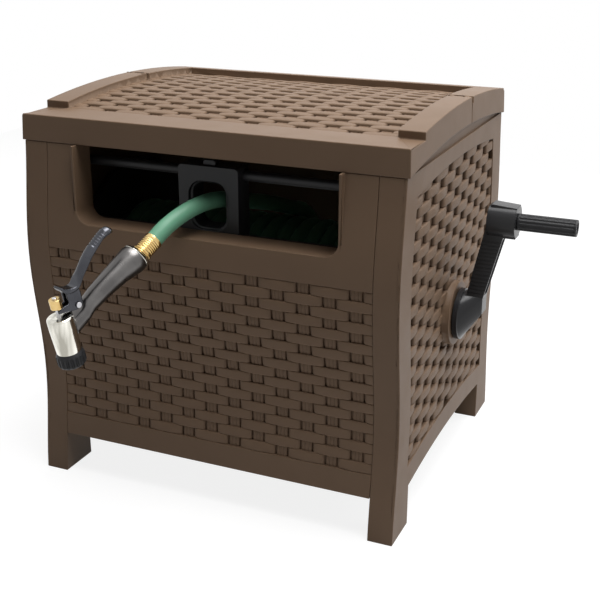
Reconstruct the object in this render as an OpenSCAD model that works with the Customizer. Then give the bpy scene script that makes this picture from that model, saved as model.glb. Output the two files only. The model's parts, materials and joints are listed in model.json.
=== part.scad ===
// Hose reel box: a wicker-moulded garden box with a crank reel, a sliding hose guide,
// a front lid hinged to a fixed rear cover, and a hose that ends in a pistol nozzle.
// Millimetres, +Z up, front towards -Y. The origin is on the ground, under the middle of
// the object's reach in X (from the inlet to the end of the grip) and in Y (between the feet).

/* [Box] */
// Width over the lid's side skirts
lid_w = 600; // [580:2:660]
// Depth over the lid's front and rear skirts
lid_d = 494; // [480:2:540]
// Height of the lid's lower edge at the corners
eaves_z = 536; // [530:2:580]
// Radius of the arch that the lid and the side rails follow
arch_r = 1620; // [1400:20:2200]
// Wall of the moulded panels
wall = 4; // [3:0.5:5]
// How far the front and back swell in and out about their mean
swell = 8.5; // [4:0.5:12]
// Height at which the front and back swell out most
swell_z = 370; // [340:5:400]
// Height from one outward swell to the next
swell_period = 400; // [360:10:480]

/* [Lid] */
// Wall of the lid
lid_wall = 3; // [2.5:0.5:4]
// Gap between the lid's skirt and the panels inside it
lid_gap = 1; // [0.6:0.1:1.5]
// Height of the lid's skirt at the corners
skirt_h = 37; // [30:1:45]
// How much the skirt leans in from its lower edge to its top
skirt_draft = 2; // [1:0.5:3]
// Width of the raised rims along the sides
rim_w = 38; // [30:1:45]
// Height of the rims over the woven field
rim_h = 15; // [10:1:20]
// Depth of the woven field below the front band
lid_recess = 5; // [3:0.5:7]
// Depth of the plain band along the front and rear edges
band_d = 64; // [50:2:80]
// Depth of the raised border along the rear edge
border_d = 49; // [40:1:60]
// How far the front band stands over the corner pads
band_rise = 1.5; // [1:0.5:3]
// Distance from the middle back to the split between lid and rear cover
split_y = 45; // [30:5:80]
// Width of the gap at the split
split_gap = 1; // [0.6:0.1:2]
// Radius of the hinge barrels in the rims
barrel_r = 4.5; // [4:0.25:6]
// Radius of the hinge pins
hinge_pin_r = 2; // [1.5:0.25:2.5]

/* [Panels] */
// Width of the post faces on the front and back
post_w = 38; // [30:1:45]
// Width of the stiles beside the side fields
stile_w = 50; // [40:1:60]
// Height of the rail over the side fields
top_rail_h = 42; // [34:1:50]
// Height of the rail under the side fields
low_rail_h = 36; // [28:1:44]
// Depth of the side fields below their frame
side_recess = 8; // [5:0.5:10]
// Height of the arch between the feet, at its middle
leg_h = 75; // [60:1:90]
// Depth of each foot, front to back
foot_d = 69; // [55:1:80]
// Height of the front panel's lower edge over the ground
panel_z = 65; // [55:1:75]
// Height of the plain rail along the front panel's lower edge
front_rail_h = 36; // [28:1:44]
// Depth of the front and back fields below their rails
front_recess = 6; // [3:0.5:8]
// Distance from the window to the lid's sides
window_margin = 94; // [85:1:110]
// Height of the window from its sill to the lid
window_h = 115; // [105:1:125]
// Radius of the window's lower corners
window_r = 20; // [12:1:30]
// Depth of the window's reveal behind the front
reveal_d = 46; // [40:1:48]
// Height of the plain band between the field and the sill
sill_band_h = 41; // [30:1:50]

/* [Weave] */
// Distance between neighbouring warps
warp_pitch = 39; // [34:0.5:44]
// Width of the warps
warp_w = 15; // [12:0.5:18]
// Height of each row of strands
row_pitch = 15.6; // [13:0.2:18]
// Length of a strand where it lies over a warp
strand_len = 56; // [48:1:62]
// Gap between neighbouring rows of strands
strand_gap = 1.6; // [1:0.2:2.4]
// Height of the strands, as a share of their field's depth
strand_share = 0.7; // [0.5:0.05:0.9]
// Height of the warps, as a share of their field's depth
warp_share = 0.35; // [0.2:0.05:0.45]

/* [Reel] */
// Height of the reel's axis
axle_z = 268; // [264:1:280]
// Radius of the reel's axles
axle_r = 18; // [15:0.5:20]
// Radius of the drum that the hose is wound on
drum_r = 95; // [80:1:100]
// Radius of the reel's flanges
flange_r = 190; // [180:1:195]
// Room between the reel's flanges and the side panels
flange_room = 22; // [19:0.5:26]
// Outside diameter of the hose
hose_d = 24; // [20:0.5:24]
// Least gap between neighbouring turns
turn_gap = 0.8; // [0.6:0.1:1]
// Radius of the round bosses on the side panels
boss_r = 50; // [46:1:56]
// How far the bosses stand out from the side fields
boss_h = 17; // [14:1:19]
// Outer radius of the axle bushes
bush_r = 26; // [24:0.5:28]

/* [Inlet] */
// Radius of the inlet's hose thread
inlet_r = 13.25; // [12:0.25:14]
// Length of the inlet's hose thread
inlet_len = 14; // [12:1:18]

/* [Crank] */
// Distance from the reel's axis to the grip's axis
crank_r = 156; // [140:1:165]
// Radius of the crank's round hub
hub_r = 40; // [36:1:44]
// Width of the crank arm, front to back
arm_w = 26; // [22:1:30]
// Depth of the crank's head, along the reel's axis
arm_depth = 38; // [34:1:42]
// Depth of the crank arm between hub and head
arm_t = 28; // [24:1:32]
// How far the arm leans out from hub to grip
arm_lean = 36; // [28:1:44]
// Diameter of the grip
grip_d = 25; // [23:0.5:30]
// Length of the grip
grip_len = 86; // [76:1:110]
// Radius of the pin that the grip turns on
grip_pin_r = 5; // [4:0.5:6]

/* [Hose guide] */
// Width of the guide's carriage
guide_w = 96; // [90:1:104]
// Depth of the carriage, front to back
guide_d = 36; // [32:1:40]
// Width of the hose port
port_w = 52; // [46:1:56]
// Height of the hose port
port_h = 66; // [58:1:68]
// Radius of the guide rails
rail_r = 7.5; // [6:0.25:8]
// Distance of the guide's middle from the box's middle, towards the inlet side
guide_rest = 11; // [0:1:40]

/* [Nozzle] */
// Length of the nozzle's handle
handle_len = 100; // [95:1:104]
// Widest radius of the handle
handle_r = 20.5; // [17:0.5:21]
// Length of the nozzle's head
head_len = 52; // [48:1:60]
// Radius of the head at its back
head_r = 17.8; // [16:0.2:18]
// Radius of the valve stem
stem_r = 3; // [2.5:0.25:3.5]

/* [Hidden] */

// Facets of round pieces
$fn = 64;
// Facets of the wide arches
arch_fn = 360;
// Running clearance of shafts and rails, per side
run_gap = 0.06;
// Clearance between pieces that are fitted to each other
fit_gap = 0.3;
// A cut reaches this far past the piece that it cuts
over = 1;

// Colours
brown = [0.33, 0.26, 0.21];
black = [0.08, 0.08, 0.085];
green = [0.16, 0.42, 0.27];
brass = [0.80, 0.62, 0.28];
steel = [0.72, 0.72, 0.74];
chrome = [0.85, 0.85, 0.86];
charcoal = [0.20, 0.20, 0.21];

// Box
half_w = lid_w / 2;
half_d = lid_d / 2;
side_x = half_w - lid_wall - lid_gap;
field_x = side_x - side_recess;
inner_x = field_x - wall;
post_x = side_x - post_w;
seam = 0.5;
// Height of the centre of the arches, so that the lid's lower edge meets the corners
arch_z = eaves_z - sqrt(arch_r * arch_r - half_d * half_d);
field_r = arch_r + skirt_h - lid_recess - 7.5;
rim_r = field_r + rim_h;
skirt_top = eaves_z + skirt_h;
lid_top = arch_z + rim_r;
field_y = half_d - band_d;
rim_x = half_w - skirt_draft - rim_w;
// The rims and the rear border end this far ahead of the rear skirt
rim_back_y = half_d - skirt_draft - 4;
border_y = half_d - border_d;
// Half depth of what stands up inside the lid
tuck_y = half_d - lid_wall - lid_gap - skirt_draft;
panel_inset = 1;
edge_mean = half_d - panel_inset - swell * cos(360 * (eaves_z - swell_z) / swell_period);
edge_step = 24;

// Hinge of the front lid
hinge_sink = 0.3;
hinge_z = arch_z + sqrt(rim_r * rim_r - split_y * split_y) - barrel_r - hinge_sink;
barrel_gap = 0.5;
lug_w = 7;
barrel_w = 15;
lug_x = rim_x + 2;
barrel_x = lug_x + lug_w + barrel_gap;
far_lug_x = barrel_x + barrel_w + barrel_gap;
lug_spans = [[lug_x, lug_x + lug_w], [far_lug_x, far_lug_x + lug_w]];
roll_spans = [
    [rim_x + barrel_gap, lug_x - barrel_gap], [barrel_x, barrel_x + barrel_w],
    [far_lug_x + lug_w + barrel_gap, half_w - skirt_draft - barrel_gap]];
// Depth of the gap in the rims in which the rolled edge turns
hinge_room = barrel_r + 1.8;

// Front panel
window_w = lid_w - 2 * window_margin;
sill_z = eaves_z - window_h;
front_field_low = panel_z + front_rail_h;
front_field_top = sill_z - sill_band_h;
back_field_top = eaves_z - 44;
reveal_y = edge_y(sill_z) - reveal_d;
leg_top = panel_z - 3;
flange_t = 3.5;
flange_in = wall + fit_gap;
flange_reach = 26;
screw_seat = flange_in + flange_t - 0.8;
screw_r = 2;
screw_head_r = 4;
screw_x = post_x + 14;
screw_shares = [0.0955, 0.393, 0.711, 0.924];
panel_screw_z = [for (s = screw_shares) panel_z + s * (eaves_z - panel_z)];

// Reel, from the middle outwards along X
flange_x = inner_x - flange_room;
disc_t = 4;
bush_flange_t = 6;
bush_flange_r = 38;
boss_x = field_x + boss_h;
hub_gap = 1.5;
hub_x = boss_x + hub_gap;
hub_t = 8;
turn_end_gap = 2;
wound_x = flange_x - hose_d / 2 - turn_end_gap;
hose_turns = floor(2 * wound_x / (hose_d + turn_gap) + 0.01);
turn_pitch = 2 * wound_x / hose_turns;
wound_r = drum_r + hose_d / 2 + 0.95;
outlet_run = hose_d;
outlet_len = 22;
outlet_r = 9.5;
outlet_angle = 50;
stub_r = 8;
outlet_mid = outlet_run + outlet_len / 2;
stub_angle = outlet_angle - atan2(outlet_mid, wound_r);
bush_screw_ring = 32;
drum_boss_r = 8;
drum_boss_len = 30;
drum_boss_ring = drum_r - wall - drum_boss_r - 4;
drum_bosses = 6;
socket_side = 22;
collar_r = axle_r + 6;
collar_gap = 0.2;
crank_root = 18;
crank_collar = 24;
water_root = 40;
water_bore = 9;
water_end = 6;
seal_seat = 9.7;
thread_depth = 40;

// Inlet, on the left side
cap_len = 17;
hex_len = 6;
cap_wall = 4;
cap_x = boss_x + cap_len;
inlet_x = cap_x + hex_len;
inlet_end = inlet_x + inlet_len;

// Crank, in the plane of the arm
grip_z = axle_z + crank_r;
arm_x = hub_x + hub_t;
arm_top_x = arm_x + arm_lean;
arm_end_x = arm_top_x + arm_depth;
grip_x = arm_end_x + fit_gap;
grip_end = grip_x + grip_len;
arm_top_z = grip_z + 26;
arm_low_z = axle_z + hub_r - 7;
arm_out_x = arm_x + 2 * arm_t;
channel_d = 3;
groove_pitch = 6;
groove_w = 2;
groove_d = 0.8;

// The whole object is centred on its reach in X
shift_x = (inlet_end - grip_end) / 2;

// Guide
rail_z = eaves_z - 34;
low_rail_z = sill_z - 14;
guide_front = reveal_y - fit_gap;
rail_in = 22.93;
rail_y = guide_front - rail_in;
guide_back = guide_front - guide_d;
port_z = (rail_z - rail_r + sill_z) / 2;
guide_top = rail_z + 14;
guide_low = low_rail_z - 12;
port_r = 16;
lip_w = 5;
lip_d = 4;

// Free hose: half a turn over the wound layer, through the port and out to the coupling
lap_r = wound_r + hose_d + 0.4;
lap_x = 18;
lap_steps = 34;
lap_step = 5;
free_lap = [for (i = [0:lap_steps])
    [lap_x, lap_r * sin(lap_step * i), axle_z - lap_r * cos(lap_step * i)]];
mouth = [-guide_rest, -guide_front, port_z];
free_offsets = [
    [25, 162.93, -33.75], [19, 112.93, -18.75], [13, 72.93, -7.75], [8, 42.93, 0.25], [4, 17.93, 5.25],
    [-2, -4.07, 6.25], [-10, -26.07, 3.25], [-19, -50.07, -3.75], [-28, -74.07, -14.75], [-35, -94.07, -27.75]];
free_route = concat([[lap_x, 0, axle_z + lap_r + 6]], [for (o = free_offsets) mouth + o]);
free_sides = 10;

// Nozzle: its frame starts at the handle's hose end, with +X towards the head and +Z towards the lever
nozzle_at = mouth + [-44.3, -119.57, -44.75];
nozzle_turn = -110;
nozzle_dip = 32;
coupling_len = 32;
coupling_rings = 5;
neck_r = 11;
head_back = [141, 28];
head_tilt = 20;
pivot = [113, 24];
bezel_len = 20;
bezel_r = head_r + 1.5;
lever_w = 18;
rivet_r = 2.5;
knob_r = 8;
lug_t = 7;
handle_sides = 28;
lever_ribs = 7;
// Spine of the lever's finger bar and thumb horn: distance, height, half thickness
lever_spine = [
    [13.5, 65.5, 1.2], [31.5, 69, 5], [60, 62.3, 6], [84.5, 51.2, 5], [100.8, 44.6, 2.6], [115, 51.5, 3.2],
    [120.6, 64.6, 0.8]];
spine_steps = 3;

// Half depth of the box's front and back at a height
function edge_y(z) = edge_mean + swell * cos(360 * (z - swell_z) / swell_period);

// Points up the front's profile, set in by some depth
function edge_line(z0, z1, inset) =
    let (n = ceil((z1 - z0) / edge_step))
    [for (i = [0:n]) let (z = z0 + (z1 - z0) * i / n) [-edge_y(z) + inset, z]];

function reversed(list) = [for (i = [len(list) - 1:-1:0]) list[i]];
function mirrored(list) = [for (p = list) [-p[0], p[1]]];

// A 2D shape drawn in Y and Z, extruded along X
module along_x(x0, x1) {
    translate([x0, 0, 0]) rotate([90, 0, 90]) linear_extrude(x1 - x0) children();
}

// A 2D shape drawn in X and Z, extruded along Y
module along_y(y0, y1) {
    translate([0, y1, 0]) rotate([90, 0, 0]) linear_extrude(y1 - y0) children();
}

// A cylinder along X
module rod_x(x0, x1, r, y = 0, z = 0) {
    translate([x0, y, z]) rotate([0, 90, 0]) cylinder(r = r, h = x1 - x0);
}

// A tube along X
module tube_x(x0, x1, r, bore, y = 0, z = 0) {
    difference() {
        rod_x(x0, x1, r, y, z);
        rod_x(x0 - over, x1 + over, bore, y, z);
    }
}

// The pieces are drawn about the box's middle and moved to the object's origin
module placed() {
    translate([shift_x, 0, 0]) children();
}

module both_sides() {
    children();
    mirror([1, 0, 0]) children();
}

// The arch's circle, in Y and Z
module arch_disc(r) {
    translate([0, arch_z]) circle(r, $fn = arch_fn);
}

// A sheet that follows the front's profile, between two insets
module front_sheet(x0, x1, z0, z1, inset, depth) {
    along_x(x0, x1) polygon(concat(edge_line(z0, z1, inset), reversed(edge_line(z0, z1, inset + depth))));
}

// A rectangle with round corners, about its middle
module round_rect(w, h, r) {
    square([w - 2 * r, h], center = true);
    square([w, h - 2 * r], center = true);
    for (x = [-1, 1], z = [-1, 1]) translate([x * (w / 2 - r), z * (h / 2 - r)]) circle(r);
}

// Strands of a weave in U and V: each lies over every second warp, in turn from row to row
module strands(u_reach, v0, v1) {
    rows = round((v1 - v0) / row_pitch);
    pitch = (v1 - v0) / rows;
    n = ceil(u_reach / warp_pitch);
    for (row = [0:rows - 1], k = [-n:n]) if ((k + row) % 2 == 0)
        translate([k * warp_pitch, v0 + (row + 0.5) * pitch])
            square([strand_len, pitch - strand_gap], center = true);
}

// Warps of a weave, which run along V under the strands
module warps(u_reach, v0, v1) {
    n = floor((u_reach - warp_w / 2) / warp_pitch);
    for (k = [-n:n]) translate([k * warp_pitch - warp_w / 2, v0 - over]) square([warp_w, v1 - v0 + 2 * over]);
}

// The lid's side view: arched over the field and flat over the bands
module lid_profile(inset) {
    low = eaves_z - 20;
    intersection() {
        arch_disc(field_r - inset);
        translate([-field_y - inset, low]) square([field_y + border_y + 2 * inset, lid_top - low]);
    }
    band_profile(half_d - field_y - inset, inset);
    mirror([1, 0]) band_profile(half_d - border_y - inset, inset);
}

// Side view of the flat band and its skirt along the front edge
module band_profile(depth, inset) {
    y = -half_d + inset;
    top = skirt_top - inset;
    polygon([[y, eaves_z - 20], [y, eaves_z], [y + skirt_draft, top], [-half_d + depth, top],
        [-half_d + depth, eaves_z - 20]]);
}

// The lid's front view: it leans in towards its top
module lid_sides(inset) {
    along_y(-half_d - over, half_d + over) polygon([
        [-half_w + inset, eaves_z - 20], [half_w - inset, eaves_z - 20], [half_w - inset, eaves_z],
        [half_w - inset - skirt_draft, lid_top + over], [-half_w + inset + skirt_draft, lid_top + over],
        [-half_w + inset, eaves_z]]);
}

// The raised rims along the sides, and the border that joins them at the rear
module lid_rims(inset) {
    both_sides() along_x(rim_x + inset, half_w) rim_arch(-field_y + inset, rim_back_y - inset, inset);
    along_x(-rim_x - lid_wall - over, rim_x + lid_wall + over)
        rim_arch(border_y + inset, rim_back_y - inset, inset);
}

module rim_arch(y0, y1, inset) {
    intersection() {
        arch_disc(rim_r - inset);
        translate([y0, eaves_z]) square([y1 - y0, skirt_h + 2 * rim_h]);
    }
}

// A pattern in X and Y, raised on the lid's arched field
module on_lid_field(rise) {
    intersection() {
        translate([0, 0, eaves_z]) linear_extrude(lid_top - eaves_z) children();
        along_x(-rim_x - over, rim_x + over) difference() {
            arch_disc(field_r + rise);
            arch_disc(field_r - over);
        }
    }
}

// The whole arched lid before it is split
module lid_shell() {
    difference() {
        union() {
            on_lid_field(strand_share * lid_recess) strands(rim_x, -field_y, border_y);
            on_lid_field(warp_share * lid_recess) warps(rim_x, -field_y, border_y);
            intersection() {
                union() {
                    along_x(-half_w, half_w) lid_profile(0);
                    lid_rims(0);
                }
                lid_sides(0);
            }
            translate([0, 0, skirt_top - over]) linear_extrude(band_rise + over) polygon([
                [-rim_x - rim_w, -half_d + skirt_draft], [rim_x + rim_w, -half_d + skirt_draft],
                [rim_x + over, -field_y + over], [-rim_x - over, -field_y + over]]);
        }
        intersection() {
            union() {
                along_x(-half_w, half_w) lid_profile(lid_wall);
                lid_rims(lid_wall);
            }
            lid_sides(lid_wall);
        }
        along_x(-half_w - over, half_w + over) arch_disc(arch_r);
    }
}

module hinge_rods(spans, r) {
    both_sides() for (span = spans) rod_x(span[0], span[1], r, split_y, hinge_z);
}

// Blocks in the rims beside the hinge axis, from one Y to another
module hinge_blocks(spans, y0, y1, low, high) {
    both_sides() for (span = spans)
        translate([span[0], split_y + y0, hinge_z + low]) cube([span[1] - span[0], y1 - y0, high - low]);
}

// The lid ahead of the split (side -1) or the cover behind it (side 1)
module split_shell(side) {
    cut_y = side < 0 ? split_y - split_gap / 2 : split_y + split_gap / 2 - lid_d;
    difference() {
        lid_shell();
        translate([-half_w - over, cut_y, 0]) cube([lid_w + 2 * over, lid_d, 2 * lid_top]);
    }
}

// Front lid: its rims end in rolled edges that turn between the cover's lugs
module front_lid() {
    notches = [for (s = lug_spans) [s[0] - barrel_gap, s[1] + barrel_gap]];
    placed() color(brown) difference() {
        union() {
            difference() {
                split_shell(-1);
                hinge_blocks(notches, -hinge_room, hinge_room, -barrel_r - barrel_gap, 2 * barrel_r);
            }
            hinge_rods(roll_spans, barrel_r);
        }
        hinge_rods([[lug_x - over, far_lug_x + lug_w + over]], hinge_pin_r + run_gap);
    }
}

// Rear cover: its rims stand clear of the lid's rolled edges and carry the lugs
module rear_cover() {
    placed() color(brown) difference() {
        union() {
            difference() {
                split_shell(1);
                hinge_blocks([[rim_x - over, half_w + over]], 0, hinge_room,
                    -barrel_r - barrel_gap, 2 * barrel_r);
            }
            hinge_rods(lug_spans, barrel_r);
            hinge_blocks(lug_spans, 0, hinge_room + over, barrel_gap - barrel_r, barrel_r - barrel_gap);
        }
        hinge_rods([[lug_x - over, far_lug_x + lug_w + over]], hinge_pin_r + run_gap / 2);
    }
}

module hinge_pins() {
    placed() color(steel) hinge_rods([[lug_x, far_lug_x + lug_w]], hinge_pin_r);
}

// Outline of a side panel in Y and Z, with its feet
module side_outline() {
    edge = edge_line(0, eaves_z, 0);
    difference() {
        polygon(concat(edge, reversed(mirrored(edge))));
        intersection() {
            translate([0, leg_h - arch_r]) circle(arch_r, $fn = arch_fn);
            translate([-edge_y(0) + foot_d, -over]) square([2 * (edge_y(0) - foot_d), 2 * leg_h]);
        }
    }
}

// Outline of a side panel's woven field, grown by some depth
module side_field(grow) {
    z0 = leg_h + low_rail_h - 30;
    edge = edge_line(z0, eaves_z, stile_w - grow);
    difference() {
        intersection() {
            polygon(concat(edge, reversed(mirrored(edge))));
            arch_disc(arch_r - top_rail_h + grow);
        }
        translate([0, leg_h + low_rail_h - grow - arch_r]) circle(arch_r, $fn = arch_fn);
    }
}

// The top of a side panel stands up inside the lid
module side_tongue() {
    difference() {
        intersection() {
            translate([-tuck_y, 0]) square([2 * tuck_y, lid_top]);
            lid_profile(lid_wall + fit_gap);
        }
        arch_disc(arch_r - top_rail_h / 2);
    }
}

// Inner and rear walls that close the legs into boxes
module leg_walls() {
    back_y = -edge_y(0) + foot_d;
    edge = edge_line(0, leg_top, wall / 2);
    for (end = [0, 1]) mirror([0, end, 0]) {
        along_x(post_x, post_x + wall) polygon(concat(edge, [[back_y, leg_top], [back_y, 0]]));
        translate([post_x, back_y - wall, 0]) cube([side_x - post_x - wall / 2, wall, leg_top]);
    }
}

// The weave of a side field
module side_weave() {
    low = leg_h + low_rail_h - row_pitch;
    top = arch_z + arch_r - top_rail_h;
    reach = edge_y(swell_z) - stile_w;
    along_x(field_x - over, field_x + strand_share * side_recess) intersection() {
        strands(reach, low, top);
        side_field(wall / 2);
    }
    along_x(field_x - over, field_x + warp_share * side_recess) intersection() {
        warps(reach, low, top);
        side_field(wall / 2);
    }
}

module rail_sockets() {
    for (z = [rail_z, low_rail_z])
        tube_x(inner_x - 12, field_x, rail_r + wall, rail_r + run_gap, -rail_y, z);
}

// The right side panel: frame, recessed field, posts with their legs, axle boss and rail sockets
module side_panel() {
    difference() {
        union() {
            along_x(side_x - wall, side_x) difference() {
                intersection() {
                    side_outline();
                    arch_disc(arch_r + lid_gap);
                }
                side_field(0);
            }
            along_x(inner_x, side_x - wall) difference() {
                side_field(wall);
                side_field(0);
            }
            along_x(inner_x, field_x) side_field(wall / 2);
            side_weave();
            along_x(side_x - 2 * wall, side_x - wall) side_tongue();
            front_sheet(post_x, side_x - wall / 2, 0, eaves_z - fit_gap, 0, wall);
            mirror([0, 1, 0]) front_sheet(post_x, side_x - wall / 2, 0, eaves_z - fit_gap, 0, wall);
            rod_x(inner_x, boss_x, boss_r, 0, axle_z);
            rail_sockets();
            leg_walls();
        }
        rod_x(inner_x - over, boss_x + over, bush_r + fit_gap / 2, 0, axle_z);
        for (z = [rail_z, low_rail_z])
            rod_x(inner_x - over, field_x - wall / 2, rail_r + run_gap, -rail_y, z);
        bush_screw_row(screw_r, boss_h);
        for (z = panel_screw_z, end = [0, 1]) mirror([0, end, 0])
            translate([screw_x, -edge_y(z) + 1, z]) rotate([-90, 0, 0]) cylinder(r = screw_r, h = wall);
    }
}

// Shanks of the screws round an axle bush
module bush_screw_row(r, depth) {
    for (a = [45:90:315])
        translate([0, bush_screw_ring * cos(a), axle_z + bush_screw_ring * sin(a)])
            rod_x(inner_x - bush_flange_t - over, inner_x + depth - 4, r);
}

module right_side_panel() {
    placed() color(brown) side_panel();
}

module left_side_panel() {
    placed() color(brown) mirror([1, 0, 0]) side_panel();
}

// Flanges of the front and back panels, which lie behind the posts
module panel_flanges() {
    both_sides() difference() {
        front_sheet(post_x - 8, post_x + flange_reach, panel_z + 10, eaves_z - 8, flange_in, flange_t);
        for (z = panel_screw_z) {
            translate([screw_x, -edge_y(z) - over, z]) rotate([-90, 0, 0])
                cylinder(r = screw_r + 0.2, h = 20);
            translate([screw_x, -edge_y(z) + screw_seat, z]) rotate([-90, 0, 0])
                cylinder(r = screw_head_r + 0.4, h = 10);
        }
    }
}

// The weave of the front or back field, between two heights
module front_weave(z0, z1) {
    reach = post_x - 2 * seam;
    for (share = [strand_share, warp_share]) intersection() {
        along_y(-edge_y(swell_z) - over, -edge_y(swell_z) + 4 * swell)
            if (share == strand_share) strands(reach, z0, z1);
            else warps(reach, z0, z1);
        front_sheet(-reach, reach, z0 - over, z1 + over, (1 - share) * front_recess, front_recess);
    }
}

// Top edge of the front and back panels, inside the lid
module panel_tongue(x0, x1) {
    translate([x0, -tuck_y, eaves_z - 30]) cube([x1 - x0, wall, 50]);
    translate([x0, -tuck_y - 4, eaves_z - 30]) cube([x1 - x0, 4 + over, 20]);
}

module front_panel() {
    edge_x = post_x - seam;
    band = wall + front_recess;
    window_y = edge_y(sill_z) + 2 * swell;
    placed() color(brown) {
        difference() {
            union() {
                front_sheet(-edge_x, edge_x, panel_z, front_field_low, 0, band);
                front_sheet(-edge_x, edge_x, front_field_low - over, front_field_top + over,
                    front_recess, wall);
                front_sheet(-edge_x, edge_x, front_field_top, eaves_z - fit_gap, 0, band);
                front_weave(front_field_low, front_field_top);
                panel_tongue(-edge_x, edge_x);
                along_y(-reveal_y - reveal_d + 2, -reveal_y) window_shape(wall);
                panel_flanges();
            }
            along_y(-window_y, -reveal_y + over) window_shape(0);
            translate([-window_w / 2, -window_y, eaves_z - 2 * over]) cube([window_w, window_y, skirt_h]);
        }
    }
}

// The window's notch, open at its top, grown by some depth
module window_shape(grow) {
    h = 2 * window_h;
    translate([0, sill_z - grow + h / 2]) intersection() {
        round_rect(window_w + 2 * grow, h, window_r + grow);
        translate([-window_w, -h / 2]) square([2 * window_w, eaves_z - fit_gap - sill_z + grow]);
    }
}

module back_panel() {
    edge_x = post_x - seam;
    band = wall + front_recess;
    placed() color(brown) mirror([0, 1, 0]) {
        front_sheet(-edge_x, edge_x, panel_z, front_field_low, 0, band);
        front_sheet(-edge_x, edge_x, front_field_low - over, back_field_top + over, front_recess, wall);
        front_sheet(-edge_x, edge_x, back_field_top, eaves_z - fit_gap, 0, band);
        front_weave(front_field_low, back_field_top);
        panel_tongue(-edge_x, edge_x);
        panel_flanges();
    }
}

// A pan-head screw with its head at the origin and its shank towards +Z
module screw(r, head_r, len) {
    translate([0, 0, -2.5]) cylinder(r = head_r, h = 2.5);
    cylinder(r = r, h = len);
}

module panel_screws() {
    placed() color(steel) both_sides() for (z = panel_screw_z, end = [0, 1])
        mirror([0, end, 0])
            translate([screw_x, -edge_y(z) + screw_seat, z]) rotate([90, 0, 0])
                screw(screw_r - 0.05, screw_head_r, screw_seat - 1.2);
}

module bush() {
    difference() {
        union() {
            rod_x(inner_x - bush_flange_t, inner_x, bush_flange_r, 0, axle_z);
            rod_x(inner_x - over, boss_x, bush_r, 0, axle_z);
        }
        rod_x(inner_x - bush_flange_t - over, boss_x + over, axle_r + run_gap, 0, axle_z);
        bush_screw_row(screw_r + 0.1, boss_h);
    }
}

module right_bush() {
    placed() color(black) bush();
}

module left_bush() {
    placed() color(black) mirror([1, 0, 0]) bush();
}

module bush_screws() {
    placed() color(steel) both_sides() for (a = [45:90:315])
        translate([inner_x - bush_flange_t, bush_screw_ring * cos(a), axle_z + bush_screw_ring * sin(a)])
            rotate([0, 90, 0]) screw(screw_r - 0.05, screw_head_r, boss_h);
}

// Water inlet: a cap over the hollow axle's end, with a male hose thread
module inlet_fitting() {
    placed() color(black) mirror([1, 0, 0]) difference() {
        union() {
            rod_x(boss_x, boss_x + 5, boss_r - 8, 0, axle_z);
            rod_x(boss_x, cap_x, bush_r, 0, axle_z);
            translate([cap_x, 0, axle_z]) rotate([0, 90, 0])
                cylinder(r = inlet_r + hex_len, h = inlet_x - cap_x, $fn = 6);
            rod_x(cap_x, inlet_end, inlet_r, 0, axle_z);
        }
        rod_x(boss_x - over, cap_x - cap_wall, axle_r + fit_gap, 0, axle_z);
        rod_x(boss_x, inlet_end + over, water_bore - 1, 0, axle_z);
    }
}

module inlet_seal() {
    seat = cap_x - cap_wall;
    placed() color(black) mirror([1, 0, 0]) translate([seat - 3, 0, axle_z]) rotate([0, 90, 0])
        rotate_extrude() translate([axle_r - 4, 1.4]) circle(1.4);
}

module guide_rail(z) {
    reach = field_x - wall / 2 - 0.2;
    placed() color(black) tube_x(-reach, reach, rail_r, rail_r - 2, -rail_y, z);
}

module upper_rail() {
    guide_rail(rail_z);
}

module lower_rail() {
    guide_rail(low_rail_z);
}

// Carriage of the hose guide, with its port and a thumb tab
module guide_carriage() {
    mid = (guide_top + guide_low) / 2;
    placed() translate([-guide_rest, 0, 0]) color(black) difference() {
        union() {
            along_y(-guide_front, -guide_back) translate([0, mid])
                round_rect(guide_w, guide_top - guide_low, 6);
            along_y(-guide_front + 6, -guide_front + 18) translate([0, guide_top]) round_rect(20, 16, 4);
        }
        along_y(-guide_front - over, -guide_back + over) translate([0, port_z])
            round_rect(port_w, port_h, port_r);
        along_y(-guide_front - over, -guide_front + lip_d) translate([0, port_z])
            round_rect(port_w + 2 * lip_w, port_h + lip_w, port_r + lip_w);
        for (z = [rail_z, low_rail_z]) rod_x(-guide_w, guide_w, rail_r + run_gap, -rail_y, z);
    }
}

// A frame on the reel: +Y points out from the axis at an angle, +Z along the winding
module on_reel(angle) {
    translate([0, 0, axle_z]) rotate([angle, 0, 0]) children();
}

module drum_boss_row(x0, x1, r) {
    for (i = [0:drum_bosses - 1]) on_reel(360 * i / drum_bosses) rod_x(x0, x1, r, drum_boss_ring, 0);
}

// Ribs that join the screw bosses to the drum's wall
module drum_ribs() {
    reach = drum_r - wall / 2 - drum_boss_ring;
    for (i = [0:drum_bosses - 1]) on_reel(360 * i / drum_bosses)
        translate([flange_x - drum_boss_len, drum_boss_ring, -wall / 2]) cube([drum_boss_len, reach, wall]);
}

module reel_drum() {
    placed() color(black) difference() {
        union() {
            tube_x(-flange_x, flange_x, drum_r, drum_r - wall, 0, axle_z);
            both_sides() {
                drum_boss_row(flange_x - drum_boss_len, flange_x, drum_boss_r);
                drum_ribs();
            }
        }
        both_sides() drum_boss_row(flange_x - 24, flange_x + over, screw_r);
        on_reel(stub_angle) translate([-wound_x, 0, 0]) rotate([-90, 0, 0])
            cylinder(r = stub_r + fit_gap, h = drum_r + over);
    }
}

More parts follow.
